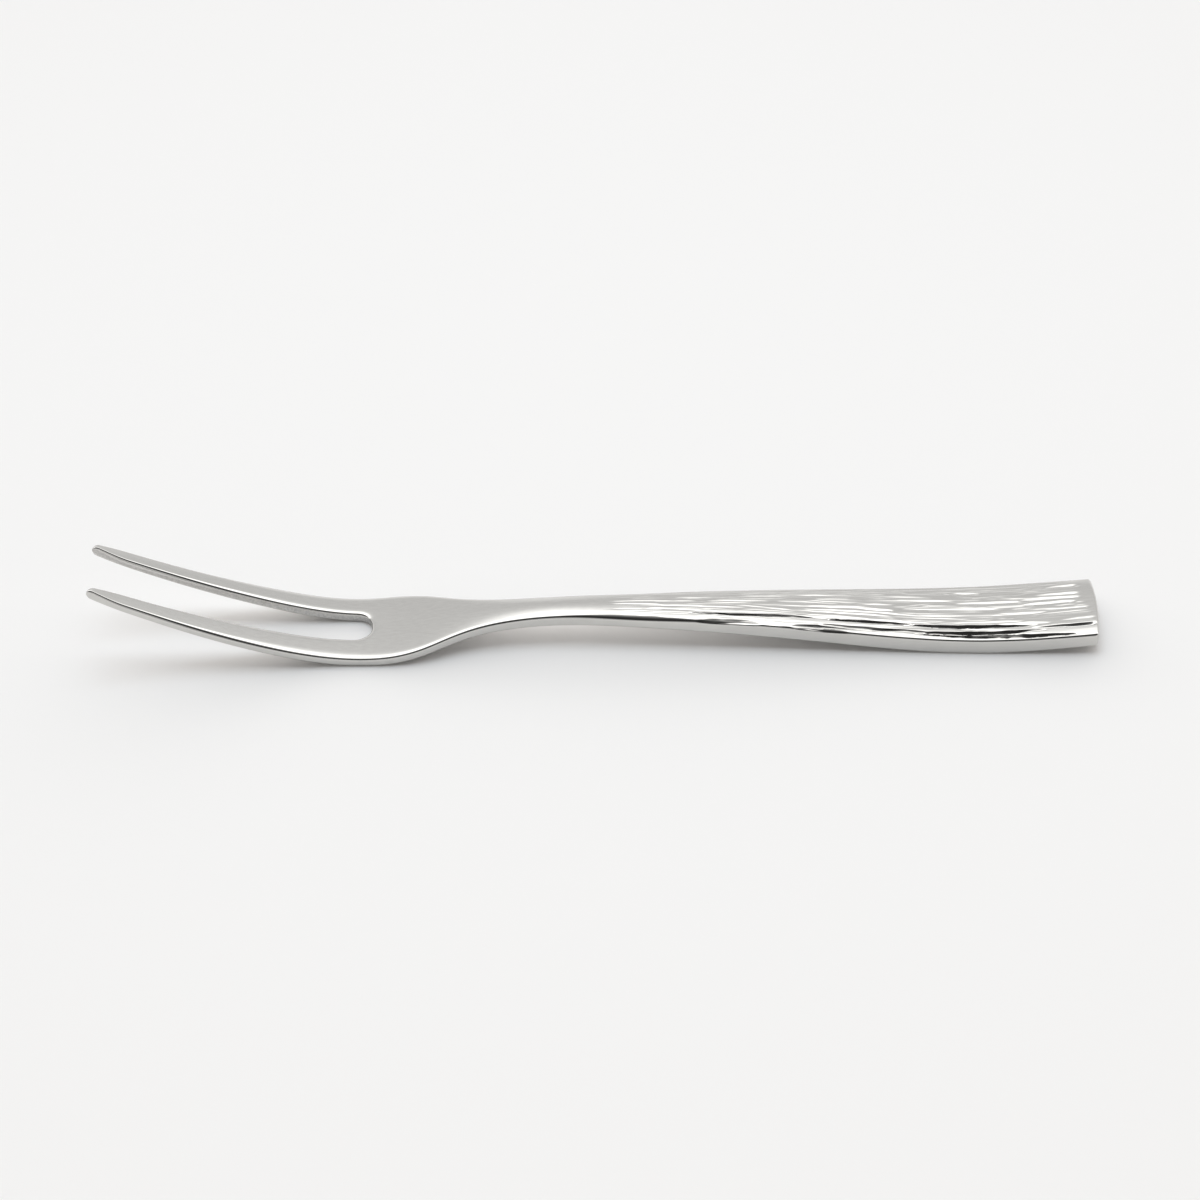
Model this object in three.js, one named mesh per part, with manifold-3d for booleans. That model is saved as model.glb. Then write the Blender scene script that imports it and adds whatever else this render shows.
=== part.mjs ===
// A two-tined fruit fork in polished stainless steel, lying on its back as it does on a table.
// Millimetres. X runs from the tips of the tines (-X) to the end of the handle (+X), Z is up
// from the table, and the fork is the same on both sides of the XZ plane.
//
// The fork is made the way its blank is: one outline, one bent side profile and one thickness,
// each a smooth curve along the length. Every piece is a loft of rounded sections that are cut
// across those three curves, so neighbours share the section where they meet.
import * as THREE from 'three';
import Module from 'manifold-3d';

// Lengths along the fork
const TINE_LENGTH = 35.75; // from the tips to the middle of the slot's round end
const HEAD_LENGTH = 22;
const NECK_LENGTH = 13;
const HANDLE_LENGTH = 69;

// Widths across the fork
const TIP_SPREAD = 11.3; // over the outsides of the two tips
const HEAD_WIDTH = 13.3;
const NECK_WIDTH = 4.7;
const HANDLE_WIDTH = 12.7;
const END_WIDTH = 12.6;
const SLOT_MOUTH = 7.5; // between the insides of the two tips
const SLOT_ROOT = 5.4; // where the slot's round end begins

// Heights of the underside over the table, on which the head and the handle rest
const TIP_RISE = 12;
const ARCH_RISE = 3.1; // under the neck
const END_RISE = 1.2;
const REST_DEPTH = 0.05; // what is worn off the curve to make the two flats that it rests on

// Thickness of the steel at its edges, and how far the top swells above them in the middle
const TIP_THICKNESS = 1.25;
const HEAD_THICKNESS = 1.45;
const NECK_THICKNESS = 1.55;
const HANDLE_THICKNESS = 2.15;
const END_THICKNESS = 1.9;
const CROWN = 0.4;

// Rounding of the edges, tips and corners
const EDGE_RADIUS = 0.5;
const TIP_TAPER = 5; // length over which each tine is ground narrow to its tip
const TIP_CUT = 0.31; // taken off each side of a tine at its tip, as a share of its width
const TIP_RADIUS = 0.35; // of each tip, seen from above
const CORNER_RADIUS = 0.5; // of the handle's two corners, seen from above
const END_BULGE = 0.4; // of the handle's end, from its corners to its middle
const WIDEST_ROUNDING = 0.45; // of an edge or a tip, as a share of the width that it is on

// Facets
const EDGE_STEPS = 2;
const CROWN_STEPS = 4;
const END_STEPS = 3;
const END_TURN = THREE.MathUtils.degToRad(75);
const ROOT_STEPS = 8;
const ROW_PITCH = 2.2;

// Places along X where the pieces meet
const LENGTH = TINE_LENGTH + HEAD_LENGTH + NECK_LENGTH + HANDLE_LENGTH;
const TIP_X = -LENGTH / 2;
const ROOT_X = TIP_X + TINE_LENGTH;
const NECK_X = ROOT_X + HEAD_LENGTH;
const HANDLE_X = NECK_X + NECK_LENGTH;
const END_X = HANDLE_X + HANDLE_LENGTH;

const mix = THREE.MathUtils.lerp;
const onTine = (share) => mix(TIP_X, ROOT_X, share);
const onHead = (share) => mix(ROOT_X, NECK_X, share);
const onNeck = (share) => mix(NECK_X, HANDLE_X, share);
const onHandle = (share) => mix(HANDLE_X, END_X, share);

// Natural cubic curve through stations of [place along X, value], as a function of X
function smoothCurve(stations) {
  const last = stations.length - 1;
  const x = stations.map((station) => station[0]);
  const value = stations.map((station) => station[1]);
  const carry = [0];
  const load = [0];
  for (let i = 1; i < last; i += 1) {
    const before = x[i] - x[i - 1];
    const after = x[i + 1] - x[i];
    const turn = (value[i + 1] - value[i]) / after - (value[i] - value[i - 1]) / before;
    const pivot = 2 * (before + after) - before * carry[i - 1];
    carry[i] = after / pivot;
    load[i] = (6 * turn - before * load[i - 1]) / pivot;
  }
  const bend = new Array(last + 1).fill(0);
  for (let i = last - 1; i > 0; i -= 1) {
    bend[i] = load[i] - carry[i] * bend[i + 1];
  }
  return (at) => {
    let i = 0;
    while (i < last - 1 && at > x[i + 1]) i += 1;
    const step = x[i + 1] - x[i];
    const a = (x[i + 1] - at) / step;
    const b = (at - x[i]) / step;
    const sag = ((a ** 3 - a) * bend[i] + (b ** 3 - b) * bend[i + 1]) * (step ** 2 / 6);
    return a * value[i] + b * value[i + 1] + sag;
  };
}

// Half the width of the outline
const outline = smoothCurve([
  [onTine(0), TIP_SPREAD / 2],
  [onTine(0.36), mix(TIP_SPREAD, HEAD_WIDTH, 0.54) / 2],
  [onTine(0.72), mix(TIP_SPREAD, HEAD_WIDTH, 0.92) / 2],
  [onHead(0.09), HEAD_WIDTH / 2],
  [onHead(0.27), mix(NECK_WIDTH, HEAD_WIDTH, 0.99) / 2],
  [onHead(0.45), mix(NECK_WIDTH, HEAD_WIDTH, 0.82) / 2],
  [onHead(0.64), mix(NECK_WIDTH, HEAD_WIDTH, 0.45) / 2],
  [onHead(0.82), mix(NECK_WIDTH, HEAD_WIDTH, 0.18) / 2],
  [onNeck(0), mix(NECK_WIDTH, HEAD_WIDTH, 0.05) / 2],
  [onNeck(0.54), NECK_WIDTH / 2],
  [onHandle(0.04), mix(NECK_WIDTH, HANDLE_WIDTH, 0.12) / 2],
  [onHandle(0.28), mix(NECK_WIDTH, HANDLE_WIDTH, 0.39) / 2],
  [onHandle(0.51), mix(NECK_WIDTH, HANDLE_WIDTH, 0.69) / 2],
  [onHandle(0.71), mix(NECK_WIDTH, HANDLE_WIDTH, 0.92) / 2],
  [onHandle(0.9), HANDLE_WIDTH / 2],
  [onHandle(1), END_WIDTH / 2],
]);

// Half the width of the slot between the tines
const slot = (x) => mix(SLOT_MOUTH, SLOT_ROOT, (x - TIP_X) / TINE_LENGTH) / 2;

// Height of the underside: up to the tips, down to the head's flat, over the neck's arch,
// down to the handle's flat and up to its end
const bentLine = smoothCurve([
  [onTine(0), TIP_RISE],
  [onTine(0.36), TIP_RISE * 0.53],
  [onTine(0.69), TIP_RISE * 0.185],
  [onHead(0.09), -REST_DEPTH],
  [onHead(0.64), ARCH_RISE * 0.52],
  [onNeck(0.62), ARCH_RISE],
  [onHandle(0.16), ARCH_RISE * 0.86],
  [onHandle(0.45), ARCH_RISE * 0.38],
  [onHandle(0.74), -REST_DEPTH],
  [onHandle(1), END_RISE],
]);
const underside = (x) => Math.max(0, bentLine(x));

// Thickness at the edges
const thickness = smoothCurve([
  [onTine(0), TIP_THICKNESS],
  [onHead(0.09), HEAD_THICKNESS],
  [onNeck(0.15), NECK_THICKNESS],
  [onHandle(0.16), mix(NECK_THICKNESS, HANDLE_THICKNESS, 0.3)],
  [onHandle(0.68), HANDLE_THICKNESS],
  [onHandle(1), END_THICKNESS],
]);

const topside = (x, y) => bentLine(x) + thickness(x) + CROWN * (1 - (y / outline(x)) ** 2);

// Section of the steel along a crossing, a plan curve from one edge to the other. An edge has a
// rounding of the given radius, or with radius 0 a plain upright wall. The drop takes the same
// depth off the top and the underside, for the rounding of an end.
function section(crossing, startRadius, endRadius, drop = 0) {
  const length = crossing.getLength();
  const corner = (radius, step) => {
    const turn = (step / EDGE_STEPS) * (Math.PI / 2);
    if (radius === 0) return { inset: 0, depth: (1 - step / EDGE_STEPS) * EDGE_RADIUS };
    return { inset: radius * (1 - Math.cos(turn)), depth: radius * (1 - Math.sin(turn)) };
  };
  const profile = [];
  for (let step = 0; step <= EDGE_STEPS; step += 1) {
    const { inset, depth } = corner(startRadius, step);
    profile.push({ along: inset, depth });
  }
  for (let step = 1; step < CROWN_STEPS; step += 1) {
    const along = mix(startRadius, length - endRadius, step / CROWN_STEPS);
    profile.push({ along, depth: 0 });
  }
  for (let step = EDGE_STEPS; step >= 0; step -= 1) {
    const { inset, depth } = corner(endRadius, step);
    profile.push({ along: length - inset, depth });
  }
  const top = [];
  const bottom = [];
  for (const { along, depth } of profile) {
    const { x, y } = crossing.getPointAt(along / length);
    top.push(new THREE.Vector3(x, y, topside(x, y) - drop - depth));
    bottom.push(new THREE.Vector3(x, y, underside(x) + drop + depth));
  }
  return [...top, ...bottom.reverse()];
}

// Closed solid through sections in order along +X, with a wall across its first and last section
function loft(sections) {
  const size = sections[0].length;
  const index = [];
  for (let row = 0; row < sections.length - 1; row += 1) {
    for (let k = 0; k < size; k += 1) {
      const a = row * size + k;
      const b = row * size + ((k + 1) % size);
      index.push(a, a + size, b, b, a + size, b + size);
    }
  }
  const end = (sections.length - 1) * size;
  for (let k = 0; k < size / 2 - 1; k += 1) {
    const below = size - 1 - k;
    index.push(k, k + 1, below, k + 1, below - 1, below);
    index.push(end + k, end + below, end + k + 1, end + k + 1, end + below, end + below - 1);
  }
  const geometry = new THREE.BufferGeometry().setFromPoints(sections.flat());
  geometry.setIndex(index);
  return geometry;
}

// The same solid on the other side of the XZ plane
function mirrored(geometry) {
  const copy = geometry.clone().scale(1, -1, 1);
  const index = copy.getIndex();
  for (let i = 0; i < index.count; i += 3) {
    const swapped = index.getX(i + 1);
    index.setX(i + 1, index.getX(i + 2));
    index.setX(i + 2, swapped);
  }
  return copy;
}

const wasm = await Module();
wasm.setup();

function joined(first, second) {
  const solid = (geometry) => new wasm.Manifold(new wasm.Mesh({
    numProp: 3,
    vertProperties: new Float32Array(geometry.getAttribute('position').array),
    triVerts: new Uint32Array(geometry.getIndex().array),
  }));
  const mesh = solid(first).add(solid(second)).getMesh();
  const geometry = new THREE.BufferGeometry();
  geometry.setAttribute('position', new THREE.BufferAttribute(mesh.vertProperties, 3));
  geometry.setIndex(new THREE.BufferAttribute(mesh.triVerts, 1));
  return geometry;
}

const point = (x, y) => new THREE.Vector2(x, y);

// Even rows from one place along X to another, both included
function rows(from, to) {
  const count = Math.max(2, Math.ceil((to - from) / ROW_PITCH));
  return Array.from({ length: count + 1 }, (_, i) => mix(from, to, i / count));
}

// Steps round the corners of an end: how far out each section lies past the start of the
// rounding, how much narrower it is on each side, and how much thinner above and below
function endSteps(radius) {
  return Array.from({ length: END_STEPS }, (_, i) => {
    const turn = (END_TURN * (i + 1)) / END_STEPS;
    return {
      out: radius * Math.sin(turn),
      narrower: radius * (1 - Math.cos(turn)),
      drop: EDGE_RADIUS * (1 - Math.cos(turn)),
    };
  });
}

// One tine, on the +Y side of the slot, ground narrow to its tip
function tine() {
  const ground = (x) => {
    const rest = Math.max(0, 1 - (x - TIP_X) / TIP_TAPER);
    return TIP_CUT * (outline(x) - slot(x)) * rest ** 1.6;
  };
  const across = (x, narrower, drop) => {
    const inner = slot(x) + ground(x) + narrower;
    const outer = outline(x) - ground(x) - narrower;
    const radius = Math.min(EDGE_RADIUS, (outer - inner) * WIDEST_ROUNDING);
    return section(new THREE.LineCurve(point(x, inner), point(x, outer)), radius, radius, drop);
  };
  const tipWidth = outline(TIP_X) - slot(TIP_X) - 2 * ground(TIP_X);
  const steps = endSteps(Math.min(TIP_RADIUS, tipWidth * WIDEST_ROUNDING));
  const start = TIP_X + steps[END_STEPS - 1].out;
  const tip = steps.map(({ out, narrower, drop }) => across(start - out, narrower, drop));
  return loft([...tip.reverse(), ...rows(start, ROOT_X).map((x) => across(x, 0, 0))]);
}

// The head: two halves that meet in the XZ plane behind the slot's round end
function head() {
  const radius = SLOT_ROOT / 2;
  const fan = HEAD_LENGTH * 0.3;
  const sections = [];
  for (let step = 0; step <= ROOT_STEPS; step += 1) {
    const turn = (step / ROOT_STEPS) * (Math.PI / 2);
    const inward = point(Math.sin(turn), Math.cos(turn));
    const start = point(ROOT_X, 0).addScaledVector(inward, radius);
    const x = ROOT_X + fan * (step / ROOT_STEPS);
    const end = point(x, outline(x));
    const reach = start.distanceTo(end) / 3;
    const leave = start.clone().addScaledVector(inward, reach);
    const crossing = new THREE.CubicBezierCurve(start, leave, point(x, end.y - reach), end);
    sections.push(section(crossing, EDGE_RADIUS, EDGE_RADIUS));
  }
  const behind = ROOT_X + radius + EDGE_RADIUS;
  for (const share of rows(0, NECK_X - ROOT_X - fan).map((x) => x / (HEAD_LENGTH - fan)).slice(1)) {
    const x = mix(ROOT_X + fan, NECK_X, share);
    const start = point(mix(behind, NECK_X, share), 0);
    sections.push(section(new THREE.LineCurve(start, point(x, outline(x))), 0, EDGE_RADIUS));
  }
  const half = loft(sections);
  return joined(half, mirrored(half));
}

// Straight crossing from edge to edge
const fullWidth = (x) => new THREE.LineCurve(point(x, -outline(x)), point(x, outline(x)));

function neck() {
  return loft(rows(NECK_X, HANDLE_X).map((x) => section(fullWidth(x), EDGE_RADIUS, EDGE_RADIUS)));
}

// The handle: its sections bow towards the end, which is a shallow arc with two round corners
function handle() {
  const bowed = (x, narrower, drop) => {
    const bow = END_BULGE * THREE.MathUtils.smoothstep(x, onHandle(0.7), END_X - END_BULGE);
    const edge = outline(x) - narrower;
    const crossing = new THREE.QuadraticBezierCurve(
      point(x, -edge),
      point(x + 2 * bow, 0),
      point(x, edge),
    );
    return section(crossing, EDGE_RADIUS, EDGE_RADIUS, drop);
  };
  const steps = endSteps(CORNER_RADIUS);
  const start = END_X - END_BULGE - steps[END_STEPS - 1].out;
  const end = steps.map(({ out, narrower, drop }) => bowed(start + out, narrower, drop));
  return loft([...rows(HANDLE_X, start).map((x) => bowed(x, 0, 0)), ...end]);
}

const polishedSteel = { color: 0xc8c6c2, roughness: 0.16, metalness: 1 };
const barkSteel = { color: 0xc4c2be, roughness: 0.24, metalness: 1 };

function piece(name, geometry, finish) {
  geometry.computeVertexNormals();
  const mesh = new THREE.Mesh(geometry, new THREE.MeshStandardMaterial(finish));
  mesh.name = name;
  return mesh;
}

const fork = new THREE.Group();
const rightTine = tine();
fork.add(
  piece('tine_left', mirrored(rightTine), polishedSteel),
  piece('tine_right', rightTine, polishedSteel),
  piece('head', head(), polishedSteel),
  piece('neck', neck(), polishedSteel),
  piece('handle', handle(), barkSteel),
);

export default fork;
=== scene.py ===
# A two-tined fruit fork in polished stainless steel, with a bark-like grain struck into its handle.
import math

import bmesh
import bpy
import numpy as np
from bpy.props import FloatProperty, FloatVectorProperty, IntProperty, PointerProperty
from bpy.types import Operator, Panel, PropertyGroup
from mathutils import Matrix, Vector


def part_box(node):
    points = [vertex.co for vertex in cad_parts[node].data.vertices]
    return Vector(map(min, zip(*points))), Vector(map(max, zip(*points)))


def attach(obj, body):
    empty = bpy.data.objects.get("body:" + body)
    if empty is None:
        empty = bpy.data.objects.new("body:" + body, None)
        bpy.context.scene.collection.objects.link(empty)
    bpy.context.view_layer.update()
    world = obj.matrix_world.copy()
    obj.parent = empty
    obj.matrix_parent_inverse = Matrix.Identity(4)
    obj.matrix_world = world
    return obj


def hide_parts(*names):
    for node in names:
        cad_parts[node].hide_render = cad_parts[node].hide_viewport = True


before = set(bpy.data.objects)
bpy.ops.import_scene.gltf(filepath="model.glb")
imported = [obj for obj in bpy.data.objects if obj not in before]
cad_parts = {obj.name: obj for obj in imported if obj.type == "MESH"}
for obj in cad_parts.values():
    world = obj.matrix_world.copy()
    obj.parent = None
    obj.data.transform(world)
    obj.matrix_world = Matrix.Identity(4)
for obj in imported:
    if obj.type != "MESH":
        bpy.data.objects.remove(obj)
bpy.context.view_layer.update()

bl_info = {
    "name": "Fruit Fork",
    "version": (1, 0, 0),
    "blender": (4, 5, 0),
    "location": "View3D > Sidebar > Fruit fork",
    "description": "Builds a polished fruit fork with a bark-grained handle on a pale floor",
    "category": "Add Mesh",
}

BODY = "root"
MM = 0.001
MICRON = 0.001 * MM

# Places along X where the pieces meet, from the tips of the tines to the end of the handle
TIP_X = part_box("tine_right")[0].x
ROOT_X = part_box("head")[0].x
NECK_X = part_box("neck")[0].x
HANDLE_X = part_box("handle")[0].x
END_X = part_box("handle")[1].x

# Fineness of the meshes
EDGE_STEPS = 8
END_STEPS = 12
FAN_STEPS = 48
COLUMNS = 26
GRAIN_COLUMNS = 132
ROW_PITCH = 0.3 * MM
GRAIN_PITCH = 0.25 * MM
GRAIN_CROWDING = 0.45
WELD = 0.1 * MICRON
SHARP_ANGLE = math.radians(60)

# Where along a tine the slot is fully shifted, how far along the head the fan round the slot's end
# reaches, and where along the handle its walls lean fully and its end begins to bow
SHIFT_END = 0.7
FAN_END = 0.3
DRAFT_END = 0.3
BOW_START = 0.7

# The most of a section's width that one rounding takes, what each side of a tip loses at its end, and
# the power by which a tine narrows to its tip
WIDEST_ROUNDING = 0.45
TIP_CLOSING = 0.42
TAPER_POWER = 1.6


def length(name, millimetres, description):
    """A size of the fork that a user can set."""
    return FloatProperty(
        name=name,
        description=description,
        default=millimetres * MM,
        min=0,
        unit="LENGTH",
        precision=5,
    )


def share(name, value, description):
    """A part of a whole that a user can set."""
    return FloatProperty(
        name=name, description=description, default=value, min=0, max=1, subtype="FACTOR"
    )


def roundness(name, value, description):
    """The power of a rounding that a user can set: 2 is round, and more is squarer."""
    return FloatProperty(name=name, description=description, default=value, min=1)


def bearing(name, degrees, description):
    """An angle that a user can set."""
    return FloatProperty(
        name=name, description=description, default=math.radians(degrees), subtype="ANGLE"
    )


def tint(name, value, description):
    """A colour that a user can set."""
    return FloatVectorProperty(
        name=name, description=description, default=value, size=3, min=0, max=1, subtype="COLOR"
    )


class ForkSizes(PropertyGroup):
    """Sizes of the bent steel blank"""

    tip_spread: length("Tip spread", 11.3, "Over the outsides of the two tips")
    head_width: length("Head width", 13.3, "Across the widest part of the head")
    neck_width: length("Neck width", 4.7, "Across the narrowest part of the neck")
    handle_width: length("Handle width", 12.7, "Across the widest part of the handle")
    end_width: length("End width", 12.6, "Across the end of the handle")
    slot_mouth: length("Slot mouth", 7.5, "Between the insides of the two tips")
    slot_root: length("Slot root", 5.4, "Across the slot where its round end begins")
    slot_shift: length("Slot shift", 0.25, "How far the slot's end is cut off the middle line")
    far_fullness: roundness("Far fullness", 2.7, "How square the slot's far corner is")
    near_fullness: roundness("Near fullness", 2, "How square the slot's near corner is")
    tip_rise: length("Tip rise", 12, "Underside of the tips over the table")
    arch_rise: length("Arch rise", 3.1, "Underside of the neck over the table")
    end_rise: length("End rise", 1.2, "Underside of the handle's end over the table")
    rest_depth: length("Rest depth", 0.05, "What is worn off the two flats that the fork rests on")
    tip_thickness: length("Tip thickness", 1.25, "Steel at the edges of the tips")
    head_thickness: length("Head thickness", 1.45, "Steel at the edges of the head")
    neck_thickness: length("Neck thickness", 1.55, "Steel at the edges of the neck")
    handle_thickness: length("Handle thickness", 2.15, "Steel at the edges of the handle")
    end_thickness: length("End thickness", 1.9, "Steel at the end of the handle")
    tine_crown: length("Tine crown", 0.19, "How far the tines swell above their edges")
    head_crown: length("Head crown", 0.12, "How far the head swells above its edges")
    neck_crown: length("Neck crown", 0.44, "How far the neck swells above its edges")
    waist_crown: length("Waist crown", 0.46, "How far the steel swells where the grain begins")
    handle_crown: length("Handle crown", 0.52, "How far the handle swells above its edges")
    tip_roll: length("Tip roll", 0.31, "Width of the polished rounding along the tips' top edges")
    head_roll: length("Head roll", 1.35, "Width of the polished rounding along the head's top edges")
    slot_roll: length("Slot roll", 1, "Widest polished rounding along the slot's top edge")
    neck_roll: length("Neck roll", 0.5, "Width of the polished rounding along the neck's top edges")
    waist_roll: length("Waist roll", 0.95, "Width of the rounding where the handle leaves the neck")
    handle_roll: length("Handle roll", 0.4, "Width of the rounding along the handle's top edges")
    roll_depth: length("Roll depth", 0.46, "Depth of the polished rounding along the top edges")
    tine_depth: length("Tine depth", 0.62, "Depth of the same rounding along the tines")
    neck_depth: length("Neck depth", 0.39, "Depth of the same rounding along the neck")
    waist_depth: length("Waist depth", 0.45, "Depth of the same rounding behind the neck")
    handle_depth: length("Handle depth", 0.36, "Depth of the same rounding along the handle")
    fullness: roundness("Fullness", 2.6, "How late the rounding of the head falls off")
    tine_fullness: roundness("Tine fullness", 1.8, "How late the rounding of the tines falls off")
    wall_draft: length("Wall draft", 0.16, "How far the handle's walls lean in from foot to top")
    foot_radius: length("Foot radius", 0.3, "Rounding of the lower edges")
    tip_taper: length("Tip taper", 5, "Length over which each tine is ground narrow to its tip")
    tip_cut: length("Tip cut", 0.6, "What is ground off each side of a tine at its tip")
    tip_radius: length("Tip radius", 0.7, "Rounding of each tip, seen from above")
    tip_drop: length("Tip drop", 0.55, "Rounding of each tip, seen from the side")
    corner_radius: length("Corner radius", 0.5, "Rounding of the handle's corners, seen from above")
    end_bulge: length("End bulge", 0.4, "Bow of the handle's end")
    end_drop: length("End drop", 0.35, "Rounding of the handle's end, seen from the side")


class BarkGrain(PropertyGroup):
    """The grain that is struck into the top of the handle"""

    seed: IntProperty(name="Seed", description="Which grain is drawn", default=7, min=0)
    lanes: IntProperty(name="Lanes", description="Rows of shallow grooves", default=10, min=2)
    scratches: IntProperty(
        name="Scratches", description="Fine lines between the grooves", default=130, min=0
    )
    shortest: length("Shortest", 5, "Length of the shortest groove")
    longest: length("Longest", 17, "Length of the longest groove")
    width: length("Width", 0.46, "Width of the wall of a shallow groove that faces the front")
    depth: length("Depth", 0.155, "Depth of the shallow grooves")
    front_width: length("Front width", 0.45, "Width of the same wall of a deep groove")
    front_depth: length("Front depth", 0.46, "Depth of the deep grooves along the front")
    swell: length("Swell", 0.015, "Height of the slow waves between the grooves")
    fibre: length("Fibre", 0.009, "Height of the fine lines along the grain")
    grit: length("Grit", 0.02, "Height of the specks that are left in some grooves")
    start: length("Start", 2.5, "Length over which the grain fades in behind the neck")


class SteelFinish(PropertyGroup):
    """Colour and polish of the steel"""

    colour: tint("Colour", (0.62, 0.611, 0.59), "Colour of the polished steel")
    cut_colour: tint("Cut colour", (0.53, 0.52, 0.505), "Colour of the cut wall inside the slot")
    polish: share("Polish", 0.08, "Roughness of the polished faces")
    bark_polish: share("Bark polish", 0.07, "Roughness of the grain")
    cut_polish: share("Cut polish", 0.38, "Roughness of the cut wall inside the slot")


class Studio(PropertyGroup):
    """Floor, light and camera"""

    floor: tint("Floor", (0.88, 0.88, 0.885), "Colour of the floor")
    sweep: share("Sweep", 1, "Brightness of the studio in the steel")
    fill: share("Fill", 1, "Brightness of the studio on the floor")
    warmth: tint("Warmth", (1, 0.965, 0.925), "Colour of the light in the shadows")
    key: share("Key", 0.22, "What the softbox behind the fork adds to the light on the floor")
    key_colour: tint("Key colour", (0.74, 0.88, 1), "Colour of the softbox")
    distance: length("Distance", 560, "From the fork to the camera")
    elevation: bearing("Elevation", 40, "Height of the camera over the horizon")
    roll: bearing("Roll", -0.96, "Turn of the camera about its own axis")
    lens: FloatProperty(name="Lens", description="Focal length", default=118.85, unit="CAMERA")


def mix(first, second, part):
    """The value at a part of the way from the first to the second."""
    return first + (second - first) * part


def between(first, last):
    """What lies between two values, as a function of the part of the way."""
    return lambda part: mix(first, last, part)


def smoothstep(value, low, high):
    """A smooth rise from 0 at the low value to 1 at the high one."""
    part = np.clip((value - low) / (high - low), 0, 1)
    return part * part * (3 - 2 * part)


def smooth_curve(*stations):
    """Natural cubic curve through stations of (place, value), as a function of the place."""
    place, value = np.array(stations).T
    step = np.diff(place)
    slope = np.diff(value) / step
    inner = len(place) - 2
    pull = np.diag(2 * (step[:-1] + step[1:])) + np.diag(step[1:-1], 1) + np.diag(step[1:-1], -1)
    bend = np.zeros(len(place))
    bend[1:-1] = np.linalg.solve(pull.reshape(inner, inner), 6 * np.diff(slope))

    def at(x):
        i = np.clip(np.searchsorted(place, x) - 1, 0, len(step) - 1)
        a = (place[i + 1] - x) / step[i]
        b = 1 - a
        sag = ((a**3 - a) * bend[i] + (b**3 - b) * bend[i + 1]) * step[i] ** 2 / 6
        return a * value[i] + b * value[i + 1] + sag

    return at


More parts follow.
